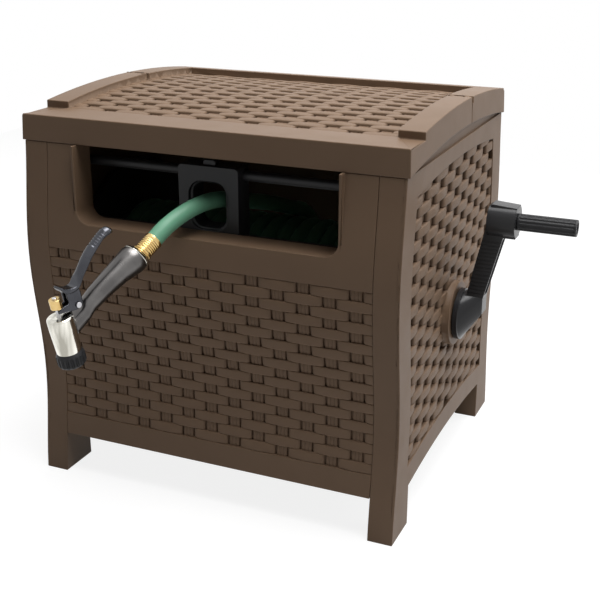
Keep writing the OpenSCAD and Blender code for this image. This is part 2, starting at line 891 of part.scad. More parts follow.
// Flange with a beaded rim, ribs on its outer face and a boss on its axle
module reel_flange() {
    rib_h = 8;
    difference() {
        union() {
            rod_x(flange_x, flange_x + disc_t, flange_r, 0, axle_z);
            tube_x(flange_x, flange_x + rib_h, flange_r, flange_r - 6, 0, axle_z);
            tube_x(flange_x, flange_x + rib_h, drum_r + 4, drum_r - 4, 0, axle_z);
            rod_x(flange_x, inner_x - bush_flange_t - 2.5 - fit_gap, axle_r + 10, 0, axle_z);
            for (a = [0:30:330]) on_reel(a)
                translate([flange_x, axle_r + 4, -2]) cube([rib_h, flange_r - axle_r - 8, 4]);
        }
        rod_x(flange_x - over, inner_x + over, axle_r + 0.05, 0, axle_z);
        drum_boss_row(flange_x - over, inner_x, screw_r + 0.2);
        drum_boss_row(flange_x + disc_t, inner_x, screw_head_r + 1);
    }
}

module right_flange() {
    placed() color(black) reel_flange();
}

module left_flange() {
    placed() color(black) mirror([1, 0, 0]) reel_flange();
}

module flange_screws() {
    placed() color(steel) both_sides() for (i = [0:drum_bosses - 1]) on_reel(360 * i / drum_bosses)
        translate([flange_x + disc_t, drum_boss_ring, 0]) rotate([0, -90, 0])
            screw(screw_r - 0.05, screw_head_r, 22);
}

// Crank axle: it turns in the right bush and ends in a square for the crank
module crank_axle() {
    placed() color(steel) difference() {
        union() {
            rod_x(flange_x - crank_root, boss_x + collar_gap, axle_r, 0, axle_z);
            rod_x(flange_x - crank_collar, flange_x - collar_gap, collar_r, 0, axle_z);
            translate([boss_x, -socket_side / 2, axle_z - socket_side / 2])
                cube([hub_t + hub_gap + 4, socket_side, socket_side]);
        }
        rod_x(boss_x - thread_depth / 4, boss_x + thread_depth, 3, 0, axle_z);
    }
}

// Water axle: hollow, it turns in the left bush and feeds the hose outlet
module water_axle() {
    placed() color(steel) mirror([1, 0, 0]) difference() {
        union() {
            rod_x(flange_x - water_root, boss_x + seal_seat, axle_r, 0, axle_z);
            rod_x(flange_x - water_root, flange_x - collar_gap, collar_r, 0, axle_z);
        }
        rod_x(flange_x - water_root + water_end, boss_x + 2 * seal_seat, water_bore, 0, axle_z);
        rod_x(boss_x + water_end, boss_x + 2 * seal_seat, axle_r - 2.4, 0, axle_z);
    }
}

// Elbow that carries the water from the axle to the first turn of hose
module hose_outlet() {
    placed() color(brass) {
        on_reel(outlet_angle) translate([-wound_x, wound_r, -outlet_run - outlet_len])
            cylinder(r = outlet_r, h = outlet_len - 0.2);
        on_reel(stub_angle) translate([-wound_x, collar_r + collar_gap, 0]) rotate([-90, 0, 0])
            cylinder(r = stub_r, h = norm([wound_r, outlet_mid]) - collar_r - collar_gap);
    }
}

// Wound hose: one tube, with straight ends as long as the hose is thick
loop_rings = 24;
wound_sides = 6;
helix = [for (i = [0:loop_rings * hose_turns])
    let (a = outlet_angle + 360 * i / loop_rings)
    [-wound_x + turn_pitch * i / loop_rings, wound_r * cos(a), axle_z + wound_r * sin(a)]];
helix_end = outlet_angle + 360 * hose_turns;
wound_path = concat(
    [helix[0] + outlet_run * [0, sin(outlet_angle), -cos(outlet_angle)]],
    helix,
    [helix[len(helix) - 1] + outlet_run * [0, -sin(helix_end), cos(helix_end)]]);
wound_gap = min([for (i = [0:len(helix) - 1], j = [i + 18:i + 30])
    if (j < len(helix)) norm(helix[i] - helix[j])]) - hose_d;
echo(wound_hose_least_gap_mm = wound_gap);

function unit(v) = v / norm(v);

// Direction of a path at one of its points
function heading(path, i) = unit(path[min(i + 1, len(path) - 1)] - path[max(i - 1, 0)]);

// One ring of a tube: across X, and square to X and to the path
function ring(path, i, r, sides) =
    let (t = heading(path, i))
    let (a = unit([1, 0, 0] - t[0] * t))
    let (b = cross(t, a))
    [for (k = [0:sides - 1])
        let (w = 360 * (k + 0.5) / sides)
        path[i] + r * (cos(w) * a + sin(w) * b)];

// A closed tube along a path, with triangles for its faces
module tube(path, r, sides) {
    n = len(path);
    points = [for (i = [0:n - 1]) each ring(path, i, r, sides)];
    walls = [for (i = [0:n - 2], k = [0:sides - 1])
        let (a = i * sides + k, b = i * sides + (k + 1) % sides)
        each [[a, a + sides, b], [b, a + sides, b + sides]]];
    first_cap = [for (k = [1:sides - 2]) [0, k, k + 1]];
    last_cap = [for (k = [1:sides - 2]) (n - 1) * sides * [1, 1, 1] + [0, k + 1, k]];
    polyhedron(points, concat(walls, first_cap, last_cap));
}

module wound_hose() {
    placed() color(green) tube(wound_path, hose_d / 2, wound_sides);
}

// A smooth path through the route's points
function smooth(p, i, t) =
    let (a = p[max(i - 1, 0)], b = p[i], c = p[i + 1], d = p[min(i + 2, len(p) - 1)])
    0.5 * (2 * b + t * (c - a) + t * t * (2 * a - 5 * b + 4 * c - d) + t * t * t * (3 * b - a - 3 * c + d));

module free_hose() {
    n = len(free_route);
    run = [for (i = [0:n - 2], t = [0, 0.5]) smooth(free_route, i, t)];
    path = concat(free_lap, run, [free_route[n - 1]]);
    placed() color(green) tube(path, hose_d / 2, free_sides);
}

// Crank arm with its hub, leaning out to the head that holds the grip's pin
module crank_arm() {
    foot_z = axle_z + 8;
    boss_low = grip_z - 24;
    boss_reach = arm_w - 1;
    placed() color(black) difference() {
        union() {
            rod_x(hub_x, arm_x, hub_r, 0, axle_z);
            hull() {
                rod_x(arm_x - 1, arm_x, hub_r - 2, 0, axle_z, $fn = 32);
                translate([arm_x, -arm_w / 2, foot_z]) cube([arm_t + 3, arm_w, 26]);
            }
            along_y(-arm_w / 2, arm_w / 2) polygon([
                [arm_x + 4, foot_z], [arm_x + 6, axle_z + hub_r], [arm_top_x - 3, grip_z + 8],
                [arm_top_x, arm_top_z], [arm_end_x, arm_top_z - 3], [arm_end_x, boss_low],
                [arm_out_x, boss_low], [arm_x + arm_t + 3, arm_low_z]]);
            intersection() {
                rod_x(arm_top_x - 4, arm_end_x, boss_reach, 0, grip_z);
                translate([arm_top_x - 10, -boss_reach, boss_low])
                    cube([60, 2 * boss_reach, arm_top_z - 3 - boss_low]);
            }
        }
        translate([hub_x - over, -socket_side / 2 - 0.1, axle_z - socket_side / 2 - 0.1])
            cube([hub_t + 4 + fit_gap + over, socket_side + 0.2, socket_side + 0.2]);
        rod_x(hub_x, arm_x + 60, 3.2, 0, axle_z);
        rod_x(arm_x + 14, arm_x + 60, 7, 0, axle_z);
        rod_x(arm_end_x - 24, arm_end_x + over, grip_pin_r + 0.05, 0, grip_z);
        arm_channel(boss_low - 4);
        arm_grooves(boss_low - 4);
    }
}

// Channel along the arm's outer face
module arm_channel(top) {
    low = arm_low_z + 4;
    foot_x = arm_x + arm_t + 3;
    along_y(-arm_w / 3, arm_w / 3) polygon([
        [foot_x - channel_d, low], [foot_x + 2 * channel_d, low],
        [arm_out_x + 2 * channel_d, top], [arm_out_x - channel_d, top]]);
}

// Fine grooves across the arm's front and rear faces
module arm_grooves(top) {
    for (z = [arm_low_z + groove_pitch:groove_pitch:top], end = [0, 1]) mirror([0, end, 0])
        translate([arm_x, -arm_w / 2 - over, z]) cube([2 * arm_depth, over + groove_d, groove_w]);
}

module crank_screw() {
    placed() color(steel) translate([arm_x + 14, 0, axle_z]) rotate([0, -90, 0]) screw(2.95, 6, 32);
}

grip_head_r = grip_pin_r + 3;
grip_head_t = 4;

module grip_pin() {
    placed() color(steel) {
        rod_x(arm_end_x - 23, grip_end - 2, grip_pin_r, 0, grip_z);
        rod_x(grip_end - 2 - grip_head_t, grip_end - 2, grip_head_r, 0, grip_z);
    }
}

// Fluted grip that turns on its pin
module crank_grip() {
    flutes = 14;
    placed() color(black) difference() {
        rod_x(grip_x, grip_end, grip_d / 2, 0, grip_z);
        rod_x(grip_x - over, grip_end + over, grip_pin_r + run_gap, 0, grip_z);
        rod_x(grip_end - 2 - grip_head_t - fit_gap, grip_end + over, grip_head_r + fit_gap, 0, grip_z);
        for (i = [0:flutes - 1]) translate([0, 0, grip_z]) rotate([360 * i / flutes, 0, 0])
            rod_x(grip_x + 4, grip_end - 3, 1.8, 0, grip_d / 2 + 0.9, $fn = 24);
    }
}

module at_nozzle() {
    placed() translate(nozzle_at) rotate([0, 0, nozzle_turn]) rotate([0, nozzle_dip, 0]) children();
}

// The head's own frame: +X along the jet, origin at the head's back
module at_head() {
    at_nozzle() translate([head_back[0], 0, head_back[1]]) rotate([0, 90 - head_tilt, 0]) children();
}

// A piece turned about X from a profile of radius and distance
module turned_x(profile) {
    rotate([0, 90, 0]) rotate_extrude() polygon(profile);
}

// Brass coupling: a crimped ferrule with fine rings, and a threaded nut on the hose's end
module hose_coupling() {
    r = hose_d / 2;
    rings = [for (i = [0:coupling_rings - 1]) let (x = -coupling_len + 6 + 3.2 * i)
        each [[r + 0.2, x], [r + 0.9, x + 0.8], [r + 0.9, x + 1.6], [r + 0.2, x + 2.4]]];
    at_nozzle() color(brass) turned_x(concat(
        [[0, -coupling_len + 0.2], [r + 1.2, -coupling_len + 0.2], [r + 1.2, -coupling_len + 4]],
        rings,
        [[r + 0.2, -9], [r + 1.8, -8], [r + 1.8, -5.4], [r + 0.9, -4.8], [r + 0.9, -4.2], [r + 1.8, -3.6],
            [r + 1.8, -2.6], [r - 1, -2.2], [0, -2.2]]));
}

module hose_washer() {
    at_nozzle() color(black) turned_x([[5, -2.1], [hose_d / 2 - 2, -2.1], [hose_d / 2 - 2, -0.1], [5, -0.1]]);
}

// Handle: widest near the hose and bowed towards the lever, with a neck and a lug for the lever's rivet
module nozzle_handle() {
    end_x = head_back[0];
    stations = [
        [0, 2, 0.82 * handle_r], [3, 3, 0.95 * handle_r], [9, 4, handle_r], [15, 4.2, handle_r],
        [26, 5.5, 0.92 * handle_r], [40, 7, 0.83 * handle_r], [62, 8, 0.75 * handle_r],
        [84, 8.3, 0.68 * handle_r], [handle_len, 7.4, 0.62 * handle_r],
        [handle_len + 6, 4.5, neck_r + 0.5], [handle_len + 12, 2, neck_r], [end_x, 0, neck_r]];
    at_nozzle() color(charcoal) difference() {
        union() {
            loft(stations, handle_sides);
            translate([pivot[0], lug_t / 2, pivot[1]]) rotate([90, 0, 0]) cylinder(r = 6, h = lug_t);
            translate([pivot[0] - 5, -lug_t / 2, 2]) cube([25, lug_t, pivot[1] - 2]);
        }
        translate([pivot[0], 10, pivot[1]]) rotate([90, 0, 0]) cylinder(r = rivet_r + run_gap, h = 20);
        head_room();
    }
}

// A solid through round sections across X: distance, height of the middle, radius
module loft(stations, sides) {
    n = len(stations);
    points = [for (s = stations, k = [0:sides - 1])
        let (w = 360 * k / sides)
        [s[0], s[2] * cos(w), s[1] + s[2] * sin(w)]];
    walls = [for (i = [0:n - 2], k = [0:sides - 1])
        let (a = i * sides + k, b = i * sides + (k + 1) % sides)
        each [[a, a + sides, b], [b, a + sides, b + sides]]];
    first_cap = [for (k = [1:sides - 2]) [0, k, k + 1]];
    last_cap = [for (k = [1:sides - 2]) (n - 1) * sides * [1, 1, 1] + [0, k + 1, k]];
    polyhedron(points, concat(walls, first_cap, last_cap));
}

// Room for the head, in the nozzle's frame
module head_room() {
    translate([head_back[0], 0, head_back[1]]) rotate([0, 90 - head_tilt, 0])
        rod_x(-3, head_len + bezel_len, head_r + 0.1);
}

// Chrome head: a cup round the valve stem
module nozzle_head() {
    bore = stem_r + run_gap;
    at_head() color(chrome) turned_x([
        [bore, 0], [head_r - 2, 0], [head_r, 2], [head_r, head_len / 3], [head_r - 1.2, head_len], [bore, head_len]]);
}

// Ribbed bezel round the head's mouth
module nozzle_bezel() {
    ribs = 18;
    back = head_len + 0.1;
    at_head() color(black) difference() {
        turned_x([
            [6, back], [head_r - 1.5, back], [bezel_r, back + 5], [bezel_r, back + bezel_len - 3],
            [bezel_r - 2, back + bezel_len], [head_r - 5, back + bezel_len], [head_r - 7, back + bezel_len - 8],
            [6, back + bezel_len - 8]]);
        for (i = [0:ribs - 1]) rotate([360 * i / ribs, 0, 0])
            rod_x(back + 4, back + bezel_len + over, 1.6, 0, bezel_r + 0.4, $fn = 12);
    }
}

// One side of a bar along a smooth spine
function bar_side(spine, side) = [for (i = [0:len(spine) - 2], k = [0:spine_steps - 1])
    let (t = k / spine_steps, p = smooth(spine, i, t), d = smooth(spine, i, t + 0.01) - p)
    [p[0], p[1]] + side * p[2] * unit([-d[1], d[0]])];

// Lever: a curved finger bar, a thumb horn, cheeks on the rivet and prongs under the flow knob
module nozzle_lever() {
    cheek = 3;
    at_nozzle() color(black) {
        for (side = [-1, 1]) translate([0, side * (3.8 + cheek / 2), 0]) difference() {
            along_y(-cheek / 2, cheek / 2) polygon([
                [pivot[0] - 7, pivot[1] - 5], [pivot[0] + 5, pivot[1] - 5],
                [137, 31.5], [141.5, 34.5], [141, 38], [136.5, 38.8],
                [122, 35], [120, 42], [117, 50], [106, 46.5], [97, 46], [100, 34]]);
            translate([pivot[0], 10, pivot[1]]) rotate([90, 0, 0]) cylinder(r = rivet_r + run_gap, h = 20);
        }
        difference() {
            along_y(-lever_w / 2, lever_w / 2)
                polygon(concat(bar_side(lever_spine, 1), reversed(bar_side(lever_spine, -1))));
            for (i = [0:lever_ribs - 1])
                translate([24 + 4 * i, lever_w / 2 + over, 75.6 - 0.016 * i * i * 4])
                    rotate([90, 0, 0]) cylinder(r = 2.6, h = lever_w + 2 * over, $fn = 16);
        }
    }
}

module lever_rivet() {
    at_nozzle() color(steel) {
        translate([pivot[0], 9.5, pivot[1]]) rotate([90, 0, 0]) cylinder(r = rivet_r, h = 19);
        for (side = [-1, 1])
            translate([pivot[0], side * 8.5, pivot[1]]) rotate([90, 0, 0])
                cylinder(r = 4, h = 2, center = true);
    }
}

module valve_stem() {
    at_head() color(steel) rod_x(-28, head_len - 6, stem_r);
}

module flow_knob() {
    at_head() color(brass) difference() {
        rod_x(-26, -13, knob_r);
        rod_x(-27, -12, stem_r + 0.03);
    }
}

front_panel();
back_panel();
left_side_panel();
right_side_panel();
panel_screws();
rear_cover();
front_lid();
hinge_pins();
left_bush();
right_bush();
bush_screws();
inlet_fitting();
inlet_seal();
upper_rail();
lower_rail();
guide_carriage();
reel_drum();
left_flange();
right_flange();
flange_screws();
crank_axle();
water_axle();
hose_outlet();
wound_hose();
crank_arm();
crank_screw();
grip_pin();
crank_grip();
free_hose();
hose_coupling();
hose_washer();
nozzle_handle();
nozzle_head();
nozzle_bezel();
nozzle_lever();
lever_rivet();
valve_stem();
flow_knob();
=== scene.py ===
"""Looks of the hose reel box: camera, materials, shells, hose, nozzle, woven fields and light."""

import json
import math

import bmesh
import bpy
from mathutils import Euler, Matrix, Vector


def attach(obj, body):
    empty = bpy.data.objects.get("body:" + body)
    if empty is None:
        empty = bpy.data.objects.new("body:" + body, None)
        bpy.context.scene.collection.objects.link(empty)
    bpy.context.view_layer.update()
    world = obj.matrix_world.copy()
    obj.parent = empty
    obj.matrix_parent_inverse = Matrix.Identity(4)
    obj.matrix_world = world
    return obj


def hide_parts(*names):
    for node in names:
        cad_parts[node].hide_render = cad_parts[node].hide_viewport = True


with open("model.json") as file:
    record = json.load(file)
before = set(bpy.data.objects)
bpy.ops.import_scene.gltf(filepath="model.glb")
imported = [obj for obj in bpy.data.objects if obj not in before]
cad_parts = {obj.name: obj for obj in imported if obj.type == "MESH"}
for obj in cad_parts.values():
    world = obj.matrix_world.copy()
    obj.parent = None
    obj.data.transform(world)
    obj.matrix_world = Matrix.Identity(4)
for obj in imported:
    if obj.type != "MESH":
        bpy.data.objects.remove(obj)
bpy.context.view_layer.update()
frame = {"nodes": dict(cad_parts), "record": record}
scene = bpy.context.scene

# Sizes in millimetres, in the box's own frame: X to the right from its middle, Y to the back, Z up
METRE = 1000
# The box's middle in the row frame
SHIFT_X = -66.4

# Outline of the box: its eaves, the swell of its front and back, and the arch of lid and sides
EAVES_Y = 246.0
EAVES_Z = 536.0
SWELL = 8.5
SWELL_Z = 370.0
SWELL_PERIOD = 400.0
ARCH_R = 1620.0
ARCH_Z = -1065.06

# Frames round the woven fields, and the split between lid and rear cover
POST_X = 258.0
STILE_W = 50.0
TOP_RAIL_H = 42.0
RIM_X = 260.0
SPLIT_Y = 45.0
SPLIT_HALF = 0.6

# Woven fields: depth and floor of each recess, and its ends in height, or in Y on the lid
FRONT_RECESS = 6.0
FRONT_FIELD = (101.0, 380.0)
BACK_FIELD = (101.0, 492.0)
SIDE_RECESS = 8.0
SIDE_FLOOR_X = 288.0
SIDE_FIELD = (95.4, 512.94)
# Lower edge of a side's field at its middle, where it arches up most
SIDE_LOW_Z = 111.0
LID_RECESS = 5.0
LID_FLOOR_R = 1644.5
LID_FIELD = (-183.0, 198.0)

# Reel and hose
AXLE_Z = 268.0
DRUM_R = 95.0
HOSE_D = 24.0


def swell(z):
    """How far the box's front and back swell out from their mean at a height."""
    return SWELL * math.cos(2 * math.pi * (z - SWELL_Z) / SWELL_PERIOD)


EDGE_MEAN = EAVES_Y - swell(EAVES_Z)


def edge_y(z):
    """Half depth of the box at a height."""
    return EDGE_MEAN + swell(z)


def unplace(co):
    """The box's frame, in millimetres, of a point in the row frame."""
    return co.x * METRE - SHIFT_X, co.y * METRE, co.z * METRE


def place(x, y, z):
    """A point of the box's frame, in metres in the row frame."""
    return Vector(((x + SHIFT_X) / METRE, y / METRE, z / METRE))


def held(value, low, high):
    """A value, held between a low and a high one."""
    return min(max(value, low), high)


# Camera at the photograph's angle
CAMERA_AT = (716.443, -1550.776, 878.761)
CAMERA_YAW = math.radians(-23.604)
CAMERA_PITCH = math.radians(20.395)
CAMERA_LENS = 65.92
SENSOR_W = 36.0
camera_data = bpy.data.cameras.new("camera")
camera_data.lens = CAMERA_LENS
camera_data.sensor_width = SENSOR_W
camera = bpy.data.objects.new("camera", camera_data)
camera.location = place(*CAMERA_AT)
level_look = math.cos(CAMERA_PITCH)
look = Vector((math.sin(CAMERA_YAW) * level_look, math.cos(CAMERA_YAW) * level_look, -math.sin(CAMERA_PITCH)))
camera.rotation_euler = look.to_track_quat("-Z", "Y").to_euler()
scene.collection.objects.link(camera)
scene.camera = camera
scene.view_settings.view_transform = "Standard"


# Materials
def new_material(name):
    """A new material, with its nodes, its links and its surface shader."""
    made = bpy.data.materials.new(name)
    made.use_nodes = True
    nodes = made.node_tree.nodes
    return made, nodes, made.node_tree.links, nodes["Principled BSDF"]


def noise(nodes, links, coordinate, scale, detail, stretch=(1, 1, 1)):
    """Noise from 0 to 1, with its own scale along each axis."""
    mapping = nodes.new("ShaderNodeMapping")
    mapping.inputs["Scale"].default_value = stretch
    links.new(coordinate, mapping.inputs["Vector"])
    made = nodes.new("ShaderNodeTexNoise")
    made.inputs["Scale"].default_value = scale
    made.inputs["Detail"].default_value = detail
    links.new(mapping.outputs["Vector"], made.inputs["Vector"])
    return made.outputs["Fac"]


def ramp(nodes, links, source, stops):
    """A colour that a source from 0 to 1 picks between stops."""
    made = nodes.new("ShaderNodeValToRGB")
    elements = made.color_ramp.elements
    while len(elements) < len(stops):
        elements.new(0.5)
    for element, (at, colour) in zip(elements, stops):
        element.position = at
        element.color = (*colour, 1)
    links.new(source, made.inputs["Fac"])
    return made.outputs["Color"]


def spread(nodes, links, source, low, high):
    """A source from 0 to 1, spread between two values."""
    made = nodes.new("ShaderNodeMapRange")
    made.inputs["To Min"].default_value = low
    made.inputs["To Max"].default_value = high
    links.new(source, made.inputs["Value"])
    return made.outputs["Result"]


def bump(nodes, links, shader, source, strength, distance):
    """Fine relief on a shader, as high as a source says."""
    made = nodes.new("ShaderNodeBump")
    made.inputs["Strength"].default_value = strength
    made.inputs["Distance"].default_value = distance
    links.new(source, made.inputs["Height"])
    links.new(made.outputs["Normal"], shader.inputs["Normal"])


def plastic(name, dark, light, rough, grain=900.0, grain_depth=0.00012, specular=0.5):
    """Moulded plastic: cloudy colour, fine grain and uneven sheen."""
    made, nodes, links, shader = new_material(name)
    shader.inputs["Specular IOR Level"].default_value = specular
    at = nodes.new("ShaderNodeTexCoord").outputs["Object"]
    clouds = noise(nodes, links, at, scale=9.0, detail=3.0)
    links.new(ramp(nodes, links, clouds, [(0.3, dark), (0.7, light)]), shader.inputs["Base Color"])
    sheen = noise(nodes, links, at, scale=30.0, detail=4.0)
    links.new(spread(nodes, links, sheen, *rough), shader.inputs["Roughness"])
    relief = noise(nodes, links, at, scale=grain, detail=2.0)
    bump(nodes, links, shader, relief, strength=0.35, distance=grain_depth)
    return made


def metal(name, dark, light, rough, clouds=40.0, stretch=(1, 1, 1)):
    """Metal: colour clouds (on chrome, long streaks that are painted reflection), uneven polish and fine
    scratches.
    """
    made, nodes, links, shader = new_material(name)
    shader.inputs["Metallic"].default_value = 1.0
    at = nodes.new("ShaderNodeTexCoord").outputs["Object"]
    shade = noise(nodes, links, at, scale=clouds, detail=3.0, stretch=stretch)
    links.new(ramp(nodes, links, shade, [(0.35, dark), (0.65, light)]), shader.inputs["Base Color"])
    polish = noise(nodes, links, at, scale=90.0, detail=3.0)
    links.new(spread(nodes, links, polish, *rough), shader.inputs["Roughness"])
    scratches = noise(nodes, links, at, scale=600.0, detail=2.0)
    bump(nodes, links, shader, scratches, strength=0.3, distance=0.00001)
    return made


def woven(name, deep, low, high, rough, specular):
    """Moulded wicker: strands with a fine grain along them, and painted shade that darkens them towards the
    bottom of the gaps.
    """
    made, nodes, links, shader = new_material(name)
    shader.inputs["Specular IOR Level"].default_value = specular
    at = nodes.new("ShaderNodeTexCoord").outputs["UV"]
    # Each point's height share, which the ramp below turns into painted shade: the lower a point lies, the
    # darker it is
    rise = nodes.new("ShaderNodeAttribute")
    rise.attribute_name = "rise"
    streaks = noise(nodes, links, at, scale=35.0, detail=3.0, stretch=(2, 30, 1))
    level = nodes.new("ShaderNodeMath")
    level.operation = "ADD"
    links.new(rise.outputs["Fac"], level.inputs[0])
    links.new(spread(nodes, links, streaks, low=-0.22, high=0.22), level.inputs[1])
    stops = [(0.05, deep), (0.40, low), (0.80, high)]
    links.new(ramp(nodes, links, level.outputs["Value"], stops), shader.inputs["Base Color"])
    sheen = noise(nodes, links, at, scale=40.0, detail=4.0)
    links.new(spread(nodes, links, sheen, *rough), shader.inputs["Roughness"])
    grain = noise(nodes, links, at, scale=60.0, detail=2.0, stretch=(3, 40, 1))
    bump(nodes, links, shader, grain, strength=0.4, distance=0.0004)
    return made


RESIN_SPECULAR = 0.16
# Resin's lighter tone, which also tops the woven strands; lower in the gaps the strands darken through the
# low colour to the deep one, as painted shade
RESIN_LIGHT = (0.172, 0.111, 0.071)
RESIN_LOW = (0.140, 0.089, 0.057)
RESIN_PAINTED_SHADE = (0.060, 0.038, 0.024)
RESIN = plastic("brown_resin", (0.154, 0.099, 0.063), RESIN_LIGHT, (0.40, 0.52), specular=RESIN_SPECULAR)
STRAND = woven("woven_resin", RESIN_PAINTED_SHADE, RESIN_LOW, RESIN_LIGHT, (0.44, 0.60), RESIN_SPECULAR)
BLACK = plastic("black_plastic", (0.017, 0.017, 0.018), (0.023, 0.023, 0.025), (0.36, 0.50), specular=0.25)
HOSE = plastic("green_hose", (0.118, 0.304, 0.190), (0.146, 0.352, 0.228), (0.36, 0.50),
               grain=300.0, grain_depth=0.0001, specular=0.3)
GLOSSY = plastic("glossy_black", (0.016, 0.016, 0.017), (0.022, 0.022, 0.024), (0.18, 0.30), specular=0.25)
RUBBER = plastic("black_rubber", (0.016, 0.016, 0.016), (0.024, 0.024, 0.024), (0.7, 0.85))
HANDLE = metal("handle_coat", (0.110, 0.105, 0.103), (0.150, 0.144, 0.140), (0.24, 0.34))
LEVER = metal("lever_coat", (0.052, 0.053, 0.060), (0.074, 0.076, 0.085), (0.22, 0.32))
# Chrome's colour swings from dark to light in long streaks along Z: painted reflection
CHROME = metal("chrome", (0.40, 0.385, 0.335), (0.92, 0.90, 0.82), (0.10, 0.18),
               clouds=70.0, stretch=(1, 1, 0.12))
BRASS = metal("brass", (0.56, 0.37, 0.13), (0.78, 0.58, 0.27), (0.16, 0.26))
STEEL = metal("zinc_steel", (0.52, 0.52, 0.54), (0.62, 0.62, 0.64), (0.28, 0.42))

SLOTS = {
    "brown_resin": RESIN, "black_plastic": BLACK, "green_hose": HOSE, "brass": BRASS, "zinc_steel": STEEL,
    "chrome": CHROME, "handle_coat": HANDLE, "lever_metal": LEVER, "black_rubber": RUBBER,
}
NODE_SLOT = {s["node"]: s["material_slot"] for s in frame["record"]["subparts"]}
NODE_BODY = {n: b for b, members in frame["record"]["behaviour"]["bodies"].items() for n in members}

# Angles in degrees above which an edge stays sharp to the eye
SHARP_SHELL = 40.0
SHARP_WEAVE = 60.0
SHARP_NOWHERE = 180.0


def finish_mesh(mesh, sharp=SHARP_SHELL):
    """Shades a mesh smooth up to an angle between its faces."""
    mesh.polygons.foreach_set("use_smooth", [True] * len(mesh.polygons))
    mesh.set_sharp_from_angle(angle=math.radians(sharp))
    mesh.update()


def add_piece(name, mesh, material, body):
    """A piece of the scene, which rides on a body and fills a material slot."""
    made = bpy.data.objects.new(name, mesh)
    scene.collection.objects.link(made)
    mesh.materials.clear()
    mesh.materials.append(material)
    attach(made, body)
    return made


# The solids' plain weave, sunk to a share of its height under finer strands
SUNK = 0.3
# It is found up to a share of the recess, and past a field's ends and floor by some room
PAD_TOP = 0.8
END_ROOM = 1.5
SIDE_END_ROOM = 5.0
STILE_ROOM = 1.0
FLOOR_ROOM = 0.1
CURVED_FLOOR_ROOM = 0.25


def inside(value, span, room):
    """Whether a value lies between two others, with room at both ends."""
    return span[0] - room < value < span[1] + room


def on_pad(height, recess, room=FLOOR_ROOM):
    """Whether a height over a field's floor is that of the plain weave."""
    return -room < height < PAD_TOP * recess


def sink_side(x, y, z):
    """A point of a side panel's plain weave, sunk under the finer strands, or None away from the field."""
    height = abs(x) - SIDE_FLOOR_X
    if abs(y) > edge_y(z) - STILE_W + STILE_ROOM or not inside(z, SIDE_FIELD, SIDE_END_ROOM):
        return None
    if not on_pad(height, SIDE_RECESS):
        return None
    return math.copysign(SIDE_FLOOR_X + SUNK * height, x), y, z


def sink_front(field):
    """The same for the front or back panel's field."""
    def sink(x, y, z):
        height = abs(y) - edge_y(z) + FRONT_RECESS
        if abs(x) > POST_X or not inside(z, field, END_ROOM):
            return None
        if not on_pad(height, FRONT_RECESS, CURVED_FLOOR_ROOM):
            return None
        return x, math.copysign(edge_y(z) - FRONT_RECESS + SUNK * height, y), z
    return sink


def sink_lid(x, y, z):
    """The same for the lid's and the rear cover's field."""
    height = math.hypot(y, z - ARCH_Z) - LID_FLOOR_R
    if abs(x) > RIM_X + END_ROOM or not inside(y, LID_FIELD, END_ROOM):
        return None
    if not on_pad(height, LID_RECESS):
        return None
    return x, y, ARCH_Z + math.sqrt((LID_FLOOR_R + SUNK * height) ** 2 - y * y)


SINK = {
    "left_side_panel": sink_side, "right_side_panel": sink_side,
    "front_lid": sink_lid, "rear_cover": sink_lid,
    "front_panel": sink_front(FRONT_FIELD), "back_panel": sink_front(BACK_FIELD),
}

# Shells: points closer than this many metres are one, and angles are in degrees
MERGED = 2e-5
FLAT_ANGLE = 0.3
EDGE_ANGLE = 28.0
ROUND_SEGMENTS = 2
ROUND_PROFILE = 0.6


def dress(node, width, material=None):
    """A shell in a CAD node's shape with its sharp edges rounded, which stands for the node."""
    bm = bmesh.new()
    bm.from_mesh(frame["nodes"][node].data)
    bmesh.ops.remove_doubles(bm, verts=bm.verts, dist=MERGED)
    low = [min(v.co[i] for v in bm.verts) for i in range(3)]
    high = [max(v.co[i] for v in bm.verts) for i in range(3)]
    sink = SINK.get(node, lambda x, y, z: None)

    def is_sharp(edge):
        """Whether an edge is sharp and has no end in a woven field."""
        if len(edge.link_faces) != 2 or edge.calc_face_angle(0) <= math.radians(EDGE_ANGLE):
            return False
        return not any(sink(*unplace(v.co)) for v in edge.verts)

    for vert in bm.verts:
        sunk = sink(*unplace(vert.co))
        if sunk:
            vert.co = place(*sunk)
    plain = [v for v in bm.verts if not sink(*unplace(v.co))]
    plain_set = set(plain)
    plain_edges = [e for e in bm.edges if plain_set.issuperset(e.verts)]
    bmesh.ops.dissolve_limit(bm, angle_limit=math.radians(FLAT_ANGLE), verts=plain, edges=plain_edges)
    bmesh.ops.triangulate(bm, faces=[f for f in bm.faces if len(f.verts) > 4])
    bmesh.ops.bevel(
        bm, geom=[e for e in bm.edges if is_sharp(e)], offset=width / METRE, segments=ROUND_SEGMENTS,
        profile=ROUND_PROFILE, affect="EDGES", clamp_overlap=False)
    for vert in bm.verts:
        vert.co = [held(vert.co[i], low[i], high[i]) for i in range(3)]
    mesh = bpy.data.meshes.new(node + "_shell")
    bm.to_mesh(mesh)
    bm.free()
    finish_mesh(mesh)
    slot = NODE_SLOT[node]
    made = add_piece(node + "_shell", mesh, material or SLOTS[slot], NODE_BODY[node])
    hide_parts(node)
    weighted = made.modifiers.new("weighted", "WEIGHTED_NORMAL")
    weighted.keep_sharp = True
    return made


# Hose: the wound layer and the free end, along the same routes as their solids
DRUM_GAP = 0.95
TURN_GAP = 0.8
LAP_GAP = 0.4
TURNS = 20
TURN_POINTS = 48
OUTLET_ANGLE = math.radians(50)
WOUND_R = DRUM_R + HOSE_D / 2 + DRUM_GAP
PITCH = HOSE_D + TURN_GAP
WOUND_X = PITCH * TURNS / 2


